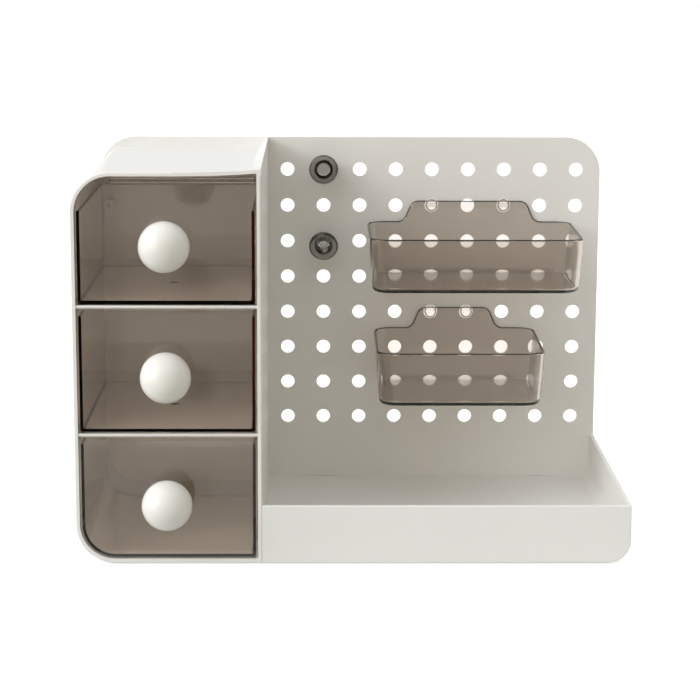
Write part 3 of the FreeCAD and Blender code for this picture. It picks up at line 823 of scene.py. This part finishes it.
class ORGANIZER_OT_fixings(bpy.types.Operator):
    """Screws of the rear panel and the four feet"""

    bl_idname = "organizer.fixings"
    bl_label = "Fixings"

    def execute(self, context):
        screws = place_mesh("panel_screws", bpy.data.meshes.new("panel_screws"))
        screw, places = one_screw()
        screws.data.from_pydata(places, [], [])
        apply_nodes(screws, repeat_tree(), {
            "Piece": screw, "Finish": finish_named("zinc_plated_steel")})
        bpy.data.objects.remove(screw)
        soften(screws, 0.0)
        show(screws, "zinc_plated_steel", "frame", "zinc_steel", "rear_panel_screws")
        for corner in ("left_front", "left_rear", "right_front", "right_rear"):
            dress("foot_" + corner, corner + "_foot_pad", "pressed_grey_rubber", "frame",
                  "foot_rubber")
        return {"FINISHED"}


class ORGANIZER_OT_stage(bpy.types.Operator):
    """Floor, light and camera"""

    bl_idname = "organizer.stage"
    bl_label = "Stage"

    def execute(self, context):
        make_floor()
        light_world()
        place_camera(context.scene)
        context.scene.view_settings.view_transform = "Standard"
        cycles = context.scene.cycles
        cycles.blur_glossy = 0.0    # a blur would stop light in the clear pieces
        cycles.max_bounces = 32     # light enters and leaves a drawer through many faces
        cycles.transmission_bounces = 32
        cycles.diffuse_bounces = 8
        return {"FINISHED"}


OPERATORS = (
    ORGANIZER_OT_cabinet, ORGANIZER_OT_tray, ORGANIZER_OT_pegboard, ORGANIZER_OT_drawers,
    ORGANIZER_OT_knobs, ORGANIZER_OT_baskets, ORGANIZER_OT_pegs, ORGANIZER_OT_fixings,
    ORGANIZER_OT_stage,
)


# ---- stage --------------------------------------------------------------------------------------

FLOOR_SIZE = 6.0
FLOOR_FRONT = 0.42          # edge of the table in front of the origin
CAMERA_PLACE = Vector((-22.395, -1366.241, 387.246)) * MM
CAMERA_PITCH = 0.19339
CAMERA_YAW = 0.015088
CAMERA_ROLL = 0.0037695
CAMERA_LENS = 109.742
KEY_FROM = Vector((-0.80, -0.45, 0.39)).normalized()
KEY_STRENGTH = 2.1
KEY_EDGE = (0.72, 0.95)     # cosines of the angle from its middle where the patch fades in
CORE_STRENGTH = 13.0        # small bright middle of the patch, which makes the glints
CORE_EDGE = (0.988, 0.994)
KEY_COLOUR = to_linear("#F6FAFF")
SKY_STRENGTH = 0.45         # at the horizon
SKY_RISE = 0.58             # more of it straight above
SKY_COLOUR = to_linear("#FFF1DC")   # at the horizon
ZENITH_COLOUR = to_linear("#F2F9FF")
DARK_FRONT = (-0.85, 0.1, 0.08)     # depths between which mirrored light rises, and its least share
WHITE_BEHIND = (0.0, 0.3)   # depths between which mirrors start to show white
WHITE_SIDES = (0.3, 0.7)    # the same for clear plastic, in front and behind


def make_floor():
    """Wide pale floor that shows white and keeps the shadow."""
    half = FLOOR_SIZE / 2
    mesh = bpy.data.meshes.new("floor")
    mesh.from_pydata([(-half, -FLOOR_FRONT, CAD_LOW.z), (half, -FLOOR_FRONT, CAD_LOW.z),
                      (half, half, CAD_LOW.z), (-half, half, CAD_LOW.z)], [], [(0, 1, 2, 3)])
    floor = place_mesh("floor", mesh)
    material, tree, output, place = new_material("white_paper_floor")
    paper = add_node(tree, "ShaderNodeBsdfDiffuse", {"Color": (*to_linear("#BEBEBA"), 1)})
    glow = add_node(tree, "ShaderNodeEmission", {"Color": (1, 1, 1, 1), "Strength": 0.75})
    both = add_node(tree, "ShaderNodeAddShader", {0: paper.outputs[0], 1: glow.outputs[0]})
    depth = add_node(tree, "ShaderNodeSeparateXYZ", {"Vector": place})
    behind = add_node(tree, "ShaderNodeMath", {0: depth.outputs["Y"], 1: CAD_LOW.y},
                      operation="GREATER_THAN")
    seen, _ = seen_white(tree, behind.outputs[0], 1.0)
    mix = add_node(tree, "ShaderNodeMixShader", {0: seen, 1: paper.outputs[0], 2: both.outputs[0]})
    tree.links.new(mix.outputs[0], output.inputs["Surface"])
    mesh.materials.append(material)


def seen_white(tree, behind, lit):
    """Share of white, and 1 for a mirrored ray.

    White is what the camera sees directly, the lit share of what it sees through clear plastic and
    the share from behind of what shiny faces mirror, as long as no matt surface comes between.
    """
    path = add_node(tree, "ShaderNodeLightPath")
    clear = path.outputs["Is Transmission Ray"]     # counts as a glossy ray too
    mirrored = add_node(tree, "ShaderNodeMath", {
        0: path.outputs["Is Glossy Ray"], 1: clear}, operation="SUBTRACT")
    mirrored.use_clamp = True
    shown = add_node(tree, "ShaderNodeMath", {0: mirrored.outputs[0], 1: behind},
                     operation="MULTIPLY")
    through = add_node(tree, "ShaderNodeMath", {0: clear, 1: lit}, operation="MULTIPLY")
    direct = add_node(tree, "ShaderNodeMath", {
        0: path.outputs["Is Camera Ray"], 1: through.outputs[0]}, operation="MAXIMUM")
    seen = add_node(tree, "ShaderNodeMath", {0: direct.outputs[0], 1: shown.outputs[0]},
                    operation="MAXIMUM")
    first = add_node(tree, "ShaderNodeMath", {
        0: path.outputs["Diffuse Depth"], 1: 0.5}, operation="LESS_THAN")
    white = add_node(tree, "ShaderNodeMath", {0: seen.outputs[0], 1: first.outputs[0]},
                     operation="MULTIPLY")
    return white.outputs[0], mirrored.outputs[0]


def light_world():
    """Even warm light, brighter above, a broad patch on the left and a dark front to mirror."""
    world = bpy.data.worlds.new("soft_studio")
    bpy.context.scene.world = world
    world.use_nodes = True
    tree = world.node_tree
    tree.nodes.clear()
    output = add_node(tree, "ShaderNodeOutputWorld")
    toward = add_node(tree, "ShaderNodeTexCoord").outputs["Generated"]
    parts = add_node(tree, "ShaderNodeSeparateXYZ", {"Vector": toward})
    facing = add_node(tree, "ShaderNodeVectorMath", {0: toward, 1: KEY_FROM},
                      operation="DOT_PRODUCT")
    patch, core = [add_node(tree, "ShaderNodeMapRange", {
        "Value": facing.outputs["Value"], "From Min": edge[0], "From Max": edge[1], "To Min": 0.0,
        "To Max": strength}, interpolation_type="SMOOTHSTEP").outputs["Result"]
        for edge, strength in ((KEY_EDGE, KEY_STRENGTH), (CORE_EDGE, CORE_STRENGTH))]
    both = add_node(tree, "ShaderNodeMath", {0: patch, 1: core}, operation="ADD")
    key = add_node(tree, "ShaderNodeBackground", {
        "Color": (*KEY_COLOUR, 1), "Strength": both.outputs[0]})
    height = add_node(tree, "ShaderNodeMath", {0: parts.outputs["Z"], 1: 0.0}, operation="MAXIMUM")
    sky = add_node(tree, "ShaderNodeMath", {0: height.outputs[0], 1: SKY_RISE, 2: SKY_STRENGTH},
                   operation="MULTIPLY_ADD")
    front = add_node(tree, "ShaderNodeMapRange", {
        "Value": parts.outputs["Y"], "From Min": DARK_FRONT[0], "From Max": DARK_FRONT[1],
        "To Min": DARK_FRONT[2], "To Max": 1.0})
    behind = add_node(tree, "ShaderNodeMapRange", {
        "Value": parts.outputs["Y"], "From Min": WHITE_BEHIND[0], "From Max": WHITE_BEHIND[1]})
    depth = add_node(tree, "ShaderNodeMath", {0: parts.outputs["Y"]}, operation="ABSOLUTE")
    lit = add_node(tree, "ShaderNodeMapRange", {
        "Value": depth.outputs[0], "From Min": WHITE_SIDES[0], "From Max": WHITE_SIDES[1]})
    white_seen, mirrored = seen_white(tree, behind.outputs["Result"], lit.outputs["Result"])
    dim = add_node(tree, "ShaderNodeMix", {
        "Factor": mirrored, "A": 1.0, "B": front.outputs["Result"]}, data_type="FLOAT")
    level = add_node(tree, "ShaderNodeMath", {0: sky.outputs[0], 1: dim.outputs["Result"]},
                     operation="MULTIPLY")
    # the vector sockets are set by number, because the node uses each name for several types
    tint = add_node(tree, "ShaderNodeMix", {
        0: parts.outputs["Z"], 4: SKY_COLOUR, 5: ZENITH_COLOUR}, data_type="VECTOR")
    soft = add_node(tree, "ShaderNodeBackground", {
        "Color": tint.outputs[1], "Strength": level.outputs[0]})
    light = add_node(tree, "ShaderNodeAddShader", {0: key.outputs[0], 1: soft.outputs[0]})
    white = add_node(tree, "ShaderNodeBackground", {"Color": (1, 1, 1, 1), "Strength": 1.0})
    mix = add_node(tree, "ShaderNodeMixShader", {
        0: white_seen, 1: light.outputs[0], 2: white.outputs[0]})
    tree.links.new(mix.outputs[0], output.inputs["Surface"])


def place_camera(scene):
    """Camera at the viewing angle, turned by pitch, yaw and roll."""
    sin_yaw, cos_yaw = math.sin(CAMERA_YAW), math.cos(CAMERA_YAW)
    sin_pitch, cos_pitch = math.sin(CAMERA_PITCH), math.cos(CAMERA_PITCH)
    ahead = Vector((sin_yaw * cos_pitch, cos_yaw * cos_pitch, -sin_pitch))
    right = Vector((cos_yaw, -sin_yaw, 0))
    up = right.cross(ahead)
    cos_roll, sin_roll = math.cos(CAMERA_ROLL), math.sin(CAMERA_ROLL)
    turned_right = cos_roll * right + sin_roll * up
    turned_up = cos_roll * up - sin_roll * right
    camera = bpy.data.cameras.new("camera")
    camera.lens = CAMERA_LENS
    camera.sensor_width = 36.0
    camera.clip_end = 20.0
    view = bpy.data.objects.new("camera", camera)
    turn = Matrix((turned_right, turned_up, -ahead)).transposed()
    view.matrix_world = Matrix.Translation(CAMERA_PLACE) @ turn.to_4x4()
    scene.collection.objects.link(view)
    scene.camera = view


# ---- panel and main -----------------------------------------------------------------------------

class ORGANIZER_PT_pieces(bpy.types.Panel):
    """Lists the sizes, the colours and the pieces"""

    bl_idname = "ORGANIZER_PT_pieces"
    bl_label = "Organizer"
    bl_space_type = "VIEW_3D"
    bl_region_type = "UI"
    bl_category = "Organizer"

    def draw(self, context):
        for group in (context.scene.organizer_sizes, context.scene.organizer_colours):
            box = self.layout.box()
            for name in group.__annotations__:
                box.prop(group, name)
        for operator in OPERATORS:
            self.layout.operator(operator.bl_idname)


CLASSES = (OrganizerSizes, OrganizerColours, *OPERATORS, ORGANIZER_PT_pieces)


def register():
    for cls in CLASSES:
        bpy.utils.register_class(cls)
    bpy.types.Scene.organizer_sizes = PointerProperty(type=OrganizerSizes)
    bpy.types.Scene.organizer_colours = PointerProperty(type=OrganizerColours)


def unregister():
    del bpy.types.Scene.organizer_colours
    del bpy.types.Scene.organizer_sizes
    for cls in reversed(CLASSES):
        bpy.utils.unregister_class(cls)


def main():
    """Builds every piece in order."""
    register()
    for operator in OPERATORS:
        group, name = operator.bl_idname.split(".")
        getattr(getattr(bpy.ops, group), name)()


if __name__ == "__main__":
    main()
